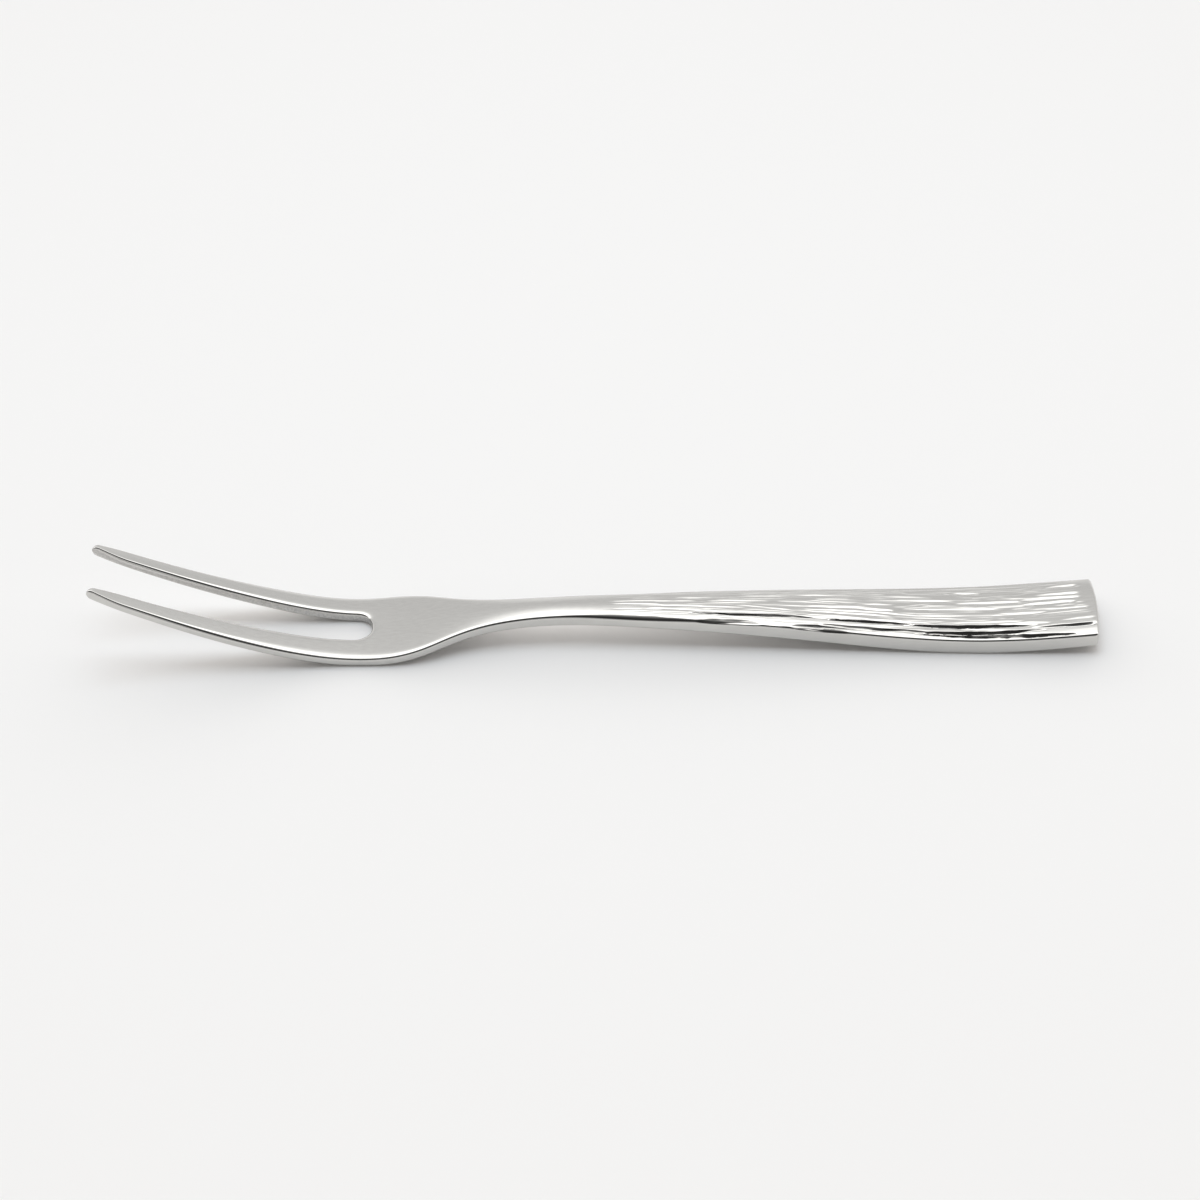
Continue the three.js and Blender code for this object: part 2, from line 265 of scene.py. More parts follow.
class Blank:
    """The steel before its grain is struck: outline, bend and thickness along X, in metres."""

    def __init__(self, sizes):
        self.sizes = sizes
        tine = between(TIP_X, ROOT_X)
        head = between(ROOT_X, NECK_X)
        neck = between(NECK_X, HANDLE_X)
        handle = between(HANDLE_X, END_X)
        splay = between(sizes.tip_spread / 2, sizes.head_width / 2)
        shoulder = between(sizes.neck_width / 2, sizes.head_width / 2)
        flare = between(sizes.neck_width / 2, sizes.handle_width / 2)
        self.outline = smooth_curve(
            (tine(0), splay(0)),
            (tine(0.36), splay(0.54)),
            (tine(0.72), splay(0.92)),
            (head(0.09), shoulder(1)),
            (head(0.27), shoulder(0.99)),
            (head(0.45), shoulder(0.82)),
            (head(0.64), shoulder(0.45)),
            (head(0.82), shoulder(0.18)),
            (neck(0), shoulder(0.05)),
            (neck(0.54), flare(0)),
            (handle(0.04), flare(0.12)),
            (handle(0.28), flare(0.39)),
            (handle(0.51), flare(0.69)),
            (handle(0.71), flare(0.92)),
            (handle(0.9), flare(1)),
            (handle(1), sizes.end_width / 2),
        )
        self.bend = smooth_curve(
            (tine(0), sizes.tip_rise),
            (tine(0.36), sizes.tip_rise * 0.53),
            (tine(0.69), sizes.tip_rise * 0.185),
            (head(0.09), -sizes.rest_depth),
            (head(0.64), sizes.arch_rise * 0.52),
            (neck(0.62), sizes.arch_rise),
            (handle(0.16), sizes.arch_rise * 0.86),
            (handle(0.45), sizes.arch_rise * 0.38),
            (handle(0.74), -sizes.rest_depth),
            (handle(1), sizes.end_rise),
        )
        self.thickness = smooth_curve(
            (tine(0), sizes.tip_thickness),
            (head(0.09), sizes.head_thickness),
            (neck(0.15), sizes.neck_thickness),
            (handle(0.16), mix(sizes.neck_thickness, sizes.handle_thickness, 0.3)),
            (handle(0.68), sizes.handle_thickness),
            (handle(1), sizes.end_thickness),
        )
        self.crown = smooth_curve(
            (tine(0), sizes.tine_crown),
            (tine(0.8), sizes.tine_crown),
            (head(0.3), sizes.head_crown),
            (head(0.7), mix(sizes.head_crown, sizes.neck_crown, 0.35)),
            (neck(0.4), sizes.neck_crown),
            (neck(0.8), mix(sizes.neck_crown, sizes.waist_crown, 0.3)),
            (handle(0.07), sizes.waist_crown),
            (handle(0.2), mix(sizes.waist_crown, sizes.handle_crown, 0.9)),
            (handle(0.6), sizes.handle_crown),
            (handle(1), sizes.handle_crown),
        )
        self.crown_power = smooth_curve(
            (tine(0), 3),
            (head(0.2), 3.2),
            (neck(0.2), 2),
            (neck(0.7), 2),
            (handle(0.1), 2.2),
            (handle(0.3), 3),
            (handle(0.6), 3.5),
            (handle(1), 3.5),
        )
        self.roll = smooth_curve(
            (tine(0), sizes.tip_roll * 0.6),
            (tine(0.12), sizes.tip_roll),
            (tine(0.42), mix(sizes.tip_roll, sizes.head_roll, 0.22)),
            (tine(0.78), mix(sizes.tip_roll, sizes.head_roll, 0.8)),
            (head(0.07), sizes.head_roll),
            (head(0.45), mix(sizes.neck_roll, sizes.head_roll, 0.5)),
            (head(0.9), sizes.neck_roll),
            (neck(0.8), sizes.neck_roll),
            (handle(0.08), sizes.waist_roll),
            (handle(0.15), mix(sizes.waist_roll, sizes.handle_roll, 0.6)),
            (handle(0.22), sizes.handle_roll),
            (handle(0.3), sizes.handle_roll),
            (handle(0.5), sizes.handle_roll),
            (handle(1), sizes.handle_roll),
        )
        self.roll_depth = smooth_curve(
            (tine(0), sizes.roll_depth),
            (tine(0.12), sizes.tine_depth),
            (tine(0.45), mix(sizes.tine_depth, sizes.roll_depth, 0.3)),
            (head(0.1), sizes.roll_depth),
            (head(0.4), sizes.roll_depth),
            (neck(0), sizes.neck_depth),
            (neck(0.8), sizes.neck_depth),
            (handle(0.08), sizes.waist_depth),
            (handle(0.15), mix(sizes.waist_depth, sizes.handle_depth, 0.6)),
            (handle(0.22), sizes.handle_depth),
            (handle(0.3), sizes.handle_depth),
            (handle(0.5), sizes.handle_depth),
            (handle(1), sizes.handle_depth),
        )
        self.fullness = smooth_curve(
            (tine(0), sizes.tine_fullness),
            (tine(0.45), mix(sizes.tine_fullness, sizes.fullness, 0.3)),
            (head(0.1), sizes.fullness),
            (head(0.4), sizes.fullness),
            (neck(0.5), 2),
            (handle(0.08), 1.6),
            (handle(0.22), 2),
            (handle(1), 2),
        )

    def shift(self, x):
        """How far the middle of the slot lies off the middle line."""
        return self.sizes.slot_shift * smoothstep(x, TIP_X, mix(TIP_X, ROOT_X, SHIFT_END))

    def slot(self, x, side):
        """From the middle line to the slot's wall on its far side (1) or its near side (-1)."""
        part = (x - TIP_X) / (ROOT_X - TIP_X)
        return mix(self.sizes.slot_mouth, self.sizes.slot_root, part) / 2 + side * self.shift(x)

    def taper(self, x):
        """What is ground off each side of a tine on its way to the tip."""
        rest = np.clip(1 - (x - TIP_X) / self.sizes.tip_taper, 0, 1)
        return self.sizes.tip_cut * rest**TAPER_POWER

    def lean(self, x):
        """How far a cut that is square to a tine leans over its end, for each unit of height."""
        near_tip = 1 - smoothstep(x, TIP_X, TIP_X + self.sizes.tip_taper)
        return near_tip * (self.bend(x) - self.bend(x + ROW_PITCH)) / ROW_PITCH

    def draft(self, x):
        """How far the walls lean in from foot to top, which begins behind the neck."""
        return self.sizes.wall_draft * smoothstep(x, NECK_X, mix(HANDLE_X, END_X, DRAFT_END))

    def edge(self, x):
        """(width, depth, fullness) of the rounding along the top edges."""
        return self.roll(x), self.roll_depth(x), self.fullness(x)

    def top(self, x, y):
        """Height of the crowned top, without its roundings."""
        swell = self.crown(x) * (1 - np.abs(y / self.outline(x)) ** self.crown_power(x))
        return self.bend(x) + self.thickness(x) + swell

    def underside(self, x):
        """Height of the underside, which is worn flat where it rests on the table."""
        return np.maximum(self.bend(x), 0)


def rounding(width, depth, fullness=2.0):
    """(inset, drop) of points round an edge, from its wall to its face: a quarter of an ellipse, which
    is nearer to a square the fuller it is."""
    turn = np.linspace(0, math.pi / 2, EDGE_STEPS + 1)
    power = 2 / fullness
    inset = width * (1 - np.clip(np.cos(turn), 0, 1) ** power)
    return inset, depth * (1 - np.clip(np.sin(turn), 0, 1) ** power)


def across(width, first, last, columns, crowding=0.0):
    """(distance from the first edge, drop) of points over a face whose first and last edges have
    roundings of (width, depth) or (width, depth, fullness). With some crowding, the points between them
    lie closer together towards the first edge."""
    inset, drop = rounding(*first)
    last_inset, last_drop = rounding(*last)
    part = np.linspace(0, 1, columns + 1)[1:-1]
    middle = mix(first[0], width - last[0], mix(part, part**2, crowding))
    distance = np.concatenate([inset, middle, width - last_inset[::-1]])
    return distance, np.concatenate([drop, np.zeros(columns - 1), last_drop[::-1]])


def edge_roll(blank, x, width, widest=math.inf):
    """(width, depth, fullness) of the rounding at a top edge of a section at x of that width."""
    roll, depth, fullness = blank.edge(x)
    roll = min(roll, width * WIDEST_ROUNDING, widest)
    return roll, depth * min(roll / blank.sizes.tip_roll, 1), fullness


def edge_foot(blank, x, width):
    """(width, height) of the rounding at the lower edges of a section at x of that width."""
    foot = min(blank.sizes.foot_radius, width * WIDEST_ROUNDING)
    return foot, foot


def rows(first, last, pitch):
    """Even places from the first to the last, no farther apart than the pitch."""
    count = max(2, math.ceil((last - first) / pitch))
    return np.linspace(first, last, count + 1)


def end_turns():
    """Turns round an end, from where its rounding begins to where it is square to the fork."""
    return np.linspace(0, math.pi / 2, END_STEPS + 1)[1:]


def ladder(section):
    """A wall across a closed section whose first half is its top and whose second is its underside."""
    half = len(section) // 2
    return np.stack([section[:half], section[half:][::-1]])


def closed(grid):
    """The same grid with its first column again at its end."""
    return np.concatenate([grid, grid[:, :1]], axis=1)


def mirrored(patch):
    """The same patch on the other side of the middle line."""
    grid, material = patch
    return grid * (1, -1, 1), material


def build_piece(name, patches, materials, nodes):
    """Welds patches of (grid of points, material) into one smooth closed mesh that stands for a node."""
    points, faces, kinds = [], [], []
    for grid, material in patches:
        count, width = grid.shape[:2]
        corner = len(points) + np.arange(count * width).reshape(count, width)
        quads = np.stack([corner[:-1, :-1], corner[1:, :-1], corner[1:, 1:], corner[:-1, 1:]], -1)
        points.extend(grid.reshape(-1, 3))
        faces.extend(quads.reshape(-1, 4).tolist())
        kinds.extend([material] * ((count - 1) * (width - 1)))
    mesh = bpy.data.meshes.new(name)
    mesh.from_pydata(points, [], faces)
    mesh.polygons.foreach_set("material_index", kinds)
    solid = bmesh.new()
    solid.from_mesh(mesh)
    bmesh.ops.remove_doubles(solid, verts=solid.verts, dist=WELD)
    bmesh.ops.recalc_face_normals(solid, faces=solid.faces)
    open_edges = [edge for edge in solid.edges if not edge.is_manifold]
    if open_edges:
        raise RuntimeError(f"{name} has {len(open_edges)} edges that aren't closed")
    solid.to_mesh(mesh)
    solid.free()
    mesh.shade_smooth()
    mesh.set_sharp_from_angle(angle=SHARP_ANGLE)
    for material in materials:
        mesh.materials.append(material)
    piece = bpy.data.objects.new(name, mesh)
    bpy.context.scene.collection.objects.link(piece)
    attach(piece, BODY)
    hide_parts(*nodes)
    return piece


def section(blank, x, first, last, columns, drop=0.0, crowding=0.0, first_roll=math.inf):
    """Closed section of the steel at x, from one Y to another: its top, then its underside."""
    width = last - first
    first_edge = edge_roll(blank, x, width, first_roll)
    last_edge = edge_roll(blank, x, width)
    distance, below = across(width, first_edge, last_edge, columns, crowding)
    draft = blank.draft(x)
    y = first + draft + distance * (1 - 2 * draft / width)
    top = np.stack([np.full_like(y, x), y, blank.top(x, y) - drop - below], -1)
    foot = edge_foot(blank, x, width)
    distance, above = across(width, foot, foot, columns)
    y = (first + distance)[::-1]
    under = np.stack([np.full_like(y, x), y, blank.underside(x) + drop + above[::-1]], -1)
    return np.concatenate([top, under])


def tine_patches(blank, side):
    """The tine on the far (1) or near (-1) side of the slot, with its cut wall on the slot's side."""
    sizes = blank.sizes
    start = TIP_X + sizes.tip_radius
    places = []
    for turn in end_turns()[::-1]:
        rest = 1 - math.cos(turn)
        places.append((start - sizes.tip_radius * math.sin(turn), rest))
    places += [(x, 0.0) for x in rows(start, ROOT_X, ROW_PITCH)]
    sections = []
    for x, rest in places:
        inner = blank.slot(x, side) + blank.taper(x)
        outer = blank.outline(x) - blank.taper(x)
        narrower = (outer - inner) * TIP_CLOSING * rest
        drop = sizes.tip_drop * rest
        points = section(
            blank, x, inner + narrower, outer - narrower, COLUMNS, drop, first_roll=sizes.slot_roll
        )
        middle = blank.bend(x) + blank.thickness(x) / 2
        points[:, 0] += blank.lean(x) * (points[:, 2] - middle)
        sections.append(points)
    grid = np.array(sections)
    slot_wall = np.stack([grid[:, -1], grid[:, 0]], axis=1)
    tine = [(grid, 0), (slot_wall, 1), (ladder(grid[0]), 0), (ladder(grid[-1]), 0)]
    return tine if side > 0 else [mirrored(patch) for patch in tine]


def head_half(blank, side, fullness):
    """The far (1) or near (-1) half of the head: a fan of sections round the slot's end, then
    sections from the middle line."""
    sizes = blank.sizes
    deep = sizes.slot_root / 2
    wide = blank.slot(ROOT_X, side)
    fan = (NECK_X - ROOT_X) * FAN_END
    foot = edge_foot(blank, ROOT_X, deep)

    def floor(x, _):
        return blank.underside(x)

    def face(part, turn, rounded, height, sign):
        """One face of a section, from the slot's wall or the middle line out to the outline."""
        outer_x = mix(ROOT_X + fan, NECK_X, part) if turn is None else ROOT_X + fan * part
        edge = blank.outline(outer_x)
        rim, *rim_shape = rounded(ROOT_X)
        rim = min(rim, sizes.slot_roll)
        slot_inset, slot_drop = rounding(rim, *rim_shape)
        inset, drop = rounding(*rounded(outer_x))
        if turn is None:
            start = np.array([mix(ROOT_X + deep + rim, NECK_X, part), 0])
            lead = np.empty((0, 2))
        else:
            out_x = max(math.sin(turn), 0) ** (2 / fullness)
            out_y = max(math.cos(turn), 0) ** (2 / fullness)
            lead = np.stack([ROOT_X + (deep + slot_inset) * out_x, (wide + slot_inset) * out_y], -1)
            start = lead[-1]
            lead = lead[:-1]
        finish = np.array([outer_x, edge - inset[-1]])
        middle = start + np.outer(np.linspace(0, 1, COLUMNS + 1), finish - start)
        tail = np.stack([np.full(EDGE_STEPS, outer_x), edge - inset[-2::-1]], -1)
        plan = np.concatenate([lead, middle, tail])
        below = np.concatenate([slot_drop[: len(lead)], np.zeros(COLUMNS + 1), drop[-2::-1]])
        z = height(plan[:, 0], plan[:, 1]) + sign * below
        return np.column_stack([plan, z])

    def ring(part, turn):
        top = face(part, turn, blank.edge, blank.top, -1)
        under = face(part, turn, lambda x: foot, floor, 1)
        return np.concatenate([top, under[::-1]])

    parts = np.linspace(0, 1, FAN_STEPS + 1)
    around = np.array([ring(part, part * math.pi / 2) for part in parts])
    slot_wall = np.stack([around[:, -1], around[:, 0]], axis=1)
    count = len(rows(ROOT_X + fan, NECK_X, ROW_PITCH))
    behind = np.array([ring(part, None) for part in np.linspace(0, 1, count)])
    half = [(around, 0), (slot_wall, 1), (behind, 0), (ladder(around[0]), 0), (ladder(behind[-1]), 0)]
    return half if side > 0 else [mirrored(patch) for patch in half]


def head_patches(blank):
    """Both halves of the head, whose slot has a squarer corner on its far side."""
    sizes = blank.sizes
    return head_half(blank, 1, sizes.far_fullness) + head_half(blank, -1, sizes.near_fullness)


def neck_patches(blank):
    """The neck: one row of sections between the head and the handle."""
    sections = []
    for x in rows(NECK_X, HANDLE_X, ROW_PITCH):
        edge = blank.outline(x)
        sections.append(section(blank, x, -edge, edge, 2 * COLUMNS))
    grid = np.array(sections)
    return [(closed(grid), 0), (ladder(grid[0]), 0), (ladder(grid[-1]), 0)]


def soft_noise(rng, x, y, pitch_x, pitch_y):
    """Smooth noise from -1 to 1 on a grid of random heights."""
    u = (x - x.min()) / pitch_x
    v = (y - y.min()) / pitch_y
    i, j = u.astype(int), v.astype(int)
    heights = rng.uniform(-1, 1, (i.max() + 2, j.max() + 2))
    a, b = smoothstep(u - i, 0, 1), smoothstep(v - j, 0, 1)
    near = mix(heights[i, j], heights[i + 1, j], a)
    far = mix(heights[i, j + 1], heights[i + 1, j + 1], a)
    return mix(near, far, b)


# Places across the handle, from its front edge (-1) to its back edge (1)
SHALLOW_ROWS = (-0.42, 0.84)
SHALLOW_JITTER = 0.07
SCRATCH_PLACES = (-0.9, 0.86)
FRONT_JITTER = 0.06
FADE_TURN = (-0.5, 0.5)
BACK_RIM = (0.84, 0.97)

# Least and most of where a row begins, how far every second row is set back, and the room between
# grooves, or their overlap
ROW_LEAD = (0, 5 * MM)
ROW_SETBACK = (8 * MM, 15 * MM)
SHALLOW_GAP = (-4 * MM, 1.5 * MM)
FRONT_OVERLAP = (0, 2.5 * MM)

# Least and most sizes of single grooves, for the grain's own depth or length of 1
SHALLOW_SIZE = (0.35, 1)
SCRATCH_LENGTH = (0.5, 2)
FRONT_LENGTH = (0.5, 1.4)
FRONT_SIZE = (0.6, 1.05)

# Other sizes of grooves, for the grain's own of 1
NARROWEST = 0.5
SCRATCH_DEPTH = 0.33
SCRATCH_WIDTH = 0.45
BACK_WALL = 0.7
GROOVE_END = 0.25

# How the grooves' walls are curved, and how much of the handle's flare the deep ones take up
GROOVE_POWER = 1.25
FRONT_FLARE = 0.2

# How far the grooves swerve, flake and slant, and how much their depth changes
SWAY = 0.08 * MM
FLAKE = 0.05 * MM
SLANT = 0.14 * MM
UNEVEN = 0.3

# Pitches along and across the handle of the noise that does so, and of the other noise in the grain
SWAY_PITCH = (5 * MM, 1.6 * MM)
FLAKE_PITCH = (1.1 * MM, 0.7 * MM)
UNEVEN_PITCH = (3 * MM, 1.2 * MM)
PATCH_PITCH = (5 * MM, 1.5 * MM)
GRIT_PITCH = (0.45 * MM, 0.25 * MM)
SWELL_PITCH = (12 * MM, 1.3 * MM)
FIBRE_PITCH = (3.5 * MM, 0.28 * MM)

# How far ahead of the handle the grain fades in, and where it fades out before the end, in front and
# at the back
FADE_LEAD = 0.5 * MM
FRONT_FADE = (1.2 * MM, 0.3 * MM)
BACK_FADE = (3.2 * MM, 1.8 * MM)

# Place across of each row of deep grooves, how far behind the neck it begins, and how far before the
# end it stops
FRONT_ROWS = (
    (-0.52, 12 * MM, 4 * MM),
    (-0.7, 30 * MM, 0),
    (-0.86, 43 * MM, 2.5 * MM),
    (-0.84, 26 * MM, 29 * MM),
)

# Place across of each scoop in the front edge, how far behind the neck it begins, and its length
SCOOPS = ((-0.9, 13 * MM, 9 * MM), (-0.94, 26 * MM, 8 * MM))


def plan_grooves(grain, rng):
    """(place across from -1 to 1, start, end, depth, width, flare) of each groove. Rows of shallow ones
    cover the back and the middle, fine scratches lie between them, and rows of deep ones follow the
    front. Places across widen with the handle, as the grooves do whose flare is 1, and every second row
    begins farther back."""
    grooves = []
    for i, row in enumerate(np.linspace(*SHALLOW_ROWS, grain.lanes)):
        setback = i % 2 * rng.uniform(*ROW_SETBACK)
        start = HANDLE_X + setback + rng.uniform(*ROW_LEAD)
        while start < END_X - grain.shortest / 2:
            size = rng.uniform(*SHALLOW_SIZE)
            end = start + rng.uniform(grain.shortest, grain.longest)
            place = row + rng.uniform(-SHALLOW_JITTER, SHALLOW_JITTER)
            wide = grain.width * mix(NARROWEST, 1, size)
            grooves.append((place, start, end, grain.depth * size, wide, 1))
            start = end + rng.uniform(*SHALLOW_GAP)
    for _ in range(grain.scratches):
        start = rng.uniform(HANDLE_X, END_X - grain.shortest)
        end = start + rng.uniform(*SCRATCH_LENGTH) * grain.shortest
        place = rng.uniform(*SCRATCH_PLACES)
        grooves.append((place, start, end, grain.depth * SCRATCH_DEPTH, grain.width * SCRATCH_WIDTH, 1))
    for row, lead, stop in FRONT_ROWS:
        start = HANDLE_X + lead
        while start < END_X - stop - grain.shortest:
            end = start + rng.uniform(*FRONT_LENGTH) * grain.longest
            if stop:
                end = min(end, END_X - stop)
            deep = grain.front_depth * rng.uniform(*FRONT_SIZE)
            place = row + rng.uniform(-FRONT_JITTER, FRONT_JITTER)
            grooves.append((place, start, end, deep, grain.front_width, FRONT_FLARE))
            start = end - rng.uniform(*FRONT_OVERLAP)
    for place, lead, reach in SCOOPS:
        start = HANDLE_X + lead
        grooves.append((place, start, start + reach, grain.depth, grain.width, 0))
    return grooves


def bark_depth(grain, blank, x, y):
    """How deep the grain is struck at each place: lens-shaped grooves that follow the flare."""
    rng = np.random.default_rng(grain.seed)
    half_width = blank.outline(x)
    side = y / half_width
    fan = side * blank.sizes.handle_width / 2
    sway = SWAY * soft_noise(rng, x, fan, *SWAY_PITCH)
    flake = FLAKE * soft_noise(rng, x, fan, *FLAKE_PITCH)
    uneven = 1 + UNEVEN * soft_noise(rng, x, fan, *UNEVEN_PITCH)
    spread = 2 * half_width / blank.sizes.handle_width
    depth = np.zeros_like(x)
    for place, start, end, deep, width, flare in plan_grooves(grain, rng):
        broad = spread**flare
        along = (2 * x - start - end) / (end - start)
        lens = np.sqrt(np.clip(1 - along**2, 0, None))
        slant = rng.normal(0, SLANT)
        offset = y - place * half_width - slant * along + sway + flake
        wall = broad * np.where(offset > 0, width, BACK_WALL * width) * mix(GROOVE_END, 1, lens)
        profile = np.clip(1 - np.abs(offset / wall) ** GROOVE_POWER, 0, None)
        depth = np.maximum(depth, broad * deep * lens * uneven * profile)
    struck = np.clip(depth / grain.depth, 0, 1)
    patches = np.clip(soft_noise(rng, x, fan, *PATCH_PITCH), 0, 1)
    depth += grain.grit * struck * patches * soft_noise(rng, x, fan, *GRIT_PITCH)
    depth += grain.swell * soft_noise(rng, x, fan, *SWELL_PITCH)
    depth += grain.fibre * soft_noise(rng, x, fan, *FIBRE_PITCH)
    fade_in = smoothstep(x, HANDLE_X - FADE_LEAD, HANDLE_X + grain.start)
    back = smoothstep(side, *FADE_TURN)
    begin, stop = [END_X - mix(front, rear, back) for front, rear in zip(FRONT_FADE, BACK_FADE)]
    fade_out = 1 - smoothstep(x, begin, stop)
    back_rim = 1 - smoothstep(side, *BACK_RIM)
    return depth * fade_in * fade_out * back_rim


def handle_patches(blank, grain):
    """The flared handle: sections that bow towards its end, with the grain struck into the top."""
    sizes = blank.sizes
    start = END_X - sizes.end_bulge - sizes.corner_radius
    places = [(x, 0.0, 0.0) for x in rows(HANDLE_X, start, GRAIN_PITCH)]
    for turn in end_turns():
        x = start + sizes.corner_radius * math.sin(turn)
        rest = 1 - math.cos(turn)
        places.append((x, sizes.corner_radius * rest, sizes.end_drop * rest))
    sections = []
    bow_start = mix(HANDLE_X, END_X, BOW_START)
    for x, narrower, drop in places:
        edge = blank.outline(x) - narrower
        points = section(blank, x, -edge, edge, GRAIN_COLUMNS, drop, GRAIN_CROWDING)
        bow = sizes.end_bulge * smoothstep(x, bow_start, END_X - sizes.end_bulge)
        points[:, 0] += bow * (1 - (points[:, 1] / edge) ** 2)
        sections.append(points)
    grid = np.array(sections)
    half = grid.shape[1] // 2
    top = grid[:, :half]
    edge_rounding = (sizes.handle_roll, 1)
    _, below = across(sizes.handle_width, edge_rounding, edge_rounding, GRAIN_COLUMNS)
    open_face = 1 - below**2
    top[..., 2] -= bark_depth(grain, blank, top[..., 0], top[..., 1]) * open_face
    return [(closed(grid), 0), (ladder(grid[0]), 0), (ladder(grid[-1]), 0)]


# How much the fine lines in the steel change its roughness
POLISH_SPREAD = 0.25


def new_material(name):
    """(material, node tree, shader) of a new plain material."""
    material = bpy.data.materials.new(name)
    material.use_nodes = True
    tree = material.node_tree
    return material, tree, tree.nodes["Principled BSDF"]


def link_node(tree, kind, inputs=(), **settings):
    """A new node with its settings, and its inputs set to values or linked to outputs."""
    node = tree.nodes.new(kind)
    for name, value in settings.items():
        setattr(node, name, value)
    for key, value in dict(inputs).items():
        if isinstance(value, bpy.types.NodeSocket):
            tree.links.new(value, node.inputs[key])
        else:
            node.inputs[key].default_value = value
    return node


def ground_lines(tree, scale, turn):
    """Fine satin lines: noise that is drawn out along one direction of the steel."""
    place = link_node(tree, "ShaderNodeTexCoord").outputs["Object"]
    turned = link_node(
        tree, "ShaderNodeMapping", {"Vector": place, "Rotation": (0, 0, turn), "Scale": scale}
    )
    noise = link_node(
        tree, "ShaderNodeTexNoise", {"Vector": turned.outputs[0], "Scale": 1, "Detail": 3}
    )
    return noise.outputs["Fac"]


def steel(name, colour, roughness, line_scale, line_turn, relief, contrast=0.06):
    """Stainless steel with fine lines that change its polish, its tone and its surface a little."""
    material, tree, shader = new_material(name)
    shader.inputs["Metallic"].default_value = 1
    lines = ground_lines(tree, line_scale, line_turn)
    tone = link_node(
        tree, "ShaderNodeMapRange", {"Value": lines, "To Min": 1 - contrast, "To Max": 1 + contrast}
    ).outputs[0]
    shade = link_node(
        tree, "ShaderNodeVectorMath", {0: colour, "Scale": tone}, operation="SCALE"
    ).outputs[0]
    tree.links.new(shade, shader.inputs["Base Color"])
    smoother = roughness * (1 - POLISH_SPREAD)
    rougher = roughness * (1 + POLISH_SPREAD)
    rough = link_node(
        tree, "ShaderNodeMapRange", {"Value": lines, "To Min": smoother, "To Max": rougher}
    ).outputs[0]
    tree.links.new(rough, shader.inputs["Roughness"])
    bump = link_node(
        tree, "ShaderNodeBump", {"Height": lines, "Strength": 1, "Distance": relief}
    ).outputs[0]
    tree.links.new(bump, shader.inputs["Normal"])
    return material


def bright_finish(finish):
    """Bright polish on the tines, the head and the neck."""
    return steel(
        "bright_finish",
        finish.colour,
        finish.polish,
        line_scale=(900, 3500, 900),
        line_turn=0.9,
        relief=0.2 * MICRON,
    )


def bark_finish(finish):
    """Polish on the handle, which the bark grain breaks up."""
    return steel(
        "bark_finish",
        finish.colour,
        finish.bark_polish,
        line_scale=(300, 3000, 300),
        line_turn=0,
        relief=1 * MICRON,
    )


def cut_finish(finish):
    """Dull, speckled steel of the cut wall inside the slot."""
    return steel(
        "cut_finish",
        finish.cut_colour,
        finish.cut_polish,
        line_scale=(3500, 3500, 3500),
        line_turn=0,
        relief=10 * MICRON,
        contrast=0.4,
    )


def once(make, finish):
    """The material that a function of the same name makes, made the first time that it is asked for."""
    return bpy.data.materials.get(make.__name__) or make(finish)


class FORK_OT_tines(Operator):
    """Builds the two curved tines"""

    bl_idname = "fork.tines"
    bl_label = "Tines"

    def execute(self, context):
        blank = Blank(context.scene.fork_sizes)
        finish = context.scene.fork_finish
        worn = [once(bright_finish, finish), once(cut_finish, finish)]
        build_piece("polished_tine_right", tine_patches(blank, 1), worn, ["tine_right"])
        build_piece("polished_tine_left", tine_patches(blank, -1), worn, ["tine_left"])
        return {"FINISHED"}


class FORK_OT_head(Operator):
    """Builds the head round the end of the slot"""

    bl_idname = "fork.head"
    bl_label = "Head"

    def execute(self, context):
        blank = Blank(context.scene.fork_sizes)
        finish = context.scene.fork_finish
        worn = [once(bright_finish, finish), once(cut_finish, finish)]
        build_piece("polished_head", head_patches(blank), worn, ["head"])
        return {"FINISHED"}


class FORK_OT_neck(Operator):
    """Builds the slim arched neck"""

    bl_idname = "fork.neck"
    bl_label = "Neck"

    def execute(self, context):
        blank = Blank(context.scene.fork_sizes)
        worn = [once(bright_finish, context.scene.fork_finish)]
        build_piece("polished_neck", neck_patches(blank), worn, ["neck"])
        return {"FINISHED"}


class FORK_OT_handle(Operator):
    """Builds the flared handle with its bark-like grain"""

    bl_idname = "fork.handle"
    bl_label = "Handle"

    def execute(self, context):
        scene = context.scene
        blank = Blank(scene.fork_sizes)
        worn = [once(bark_finish, scene.fork_finish)]
        patches = handle_patches(blank, scene.fork_grain)
        build_piece("bark_handle", patches, worn, ["handle"])
        return {"FINISHED"}


def add_floor(studio):
    """A wide matt floor under the fork."""
    reach = 2.0
    mesh = bpy.data.meshes.new("floor")
    mesh.from_pydata(
        [(-reach, -reach, 0), (reach, -reach, 0), (reach, reach, 0), (-reach, reach, 0)],
        [],
        [(0, 1, 2, 3)],
    )
    material, _, shader = new_material("pale_floor")
    shader.inputs["Base Color"].default_value = (*studio.floor, 1)
    shader.inputs["Roughness"].default_value = 0.9
    shader.inputs["Specular IOR Level"].default_value = 0
    mesh.materials.append(material)
    floor = bpy.data.objects.new("floor", mesh)
    bpy.context.scene.collection.objects.link(floor)


def add_softbox(studio):
    """A square softbox above and a little behind the fork, which casts its shadow to the front."""
    size = 300 * MM
    height = 550 * MM
    lean = math.radians(9)
    lamp = bpy.data.lights.new("softbox", "AREA")
    lamp.color = studio.key_colour
    lamp.size = size
    reach = height / math.cos(lean)
    lamp.energy = studio.key * (math.pi * reach) ** 2 / math.cos(lean)
    box = bpy.data.objects.new("softbox", lamp)
    box.location = (0, height * math.tan(lean), height)
    box.rotation_euler = (-lean, 0, 0)
    box.visible_camera = False
    box.visible_glossy = False
    bpy.context.scene.collection.objects.link(box)


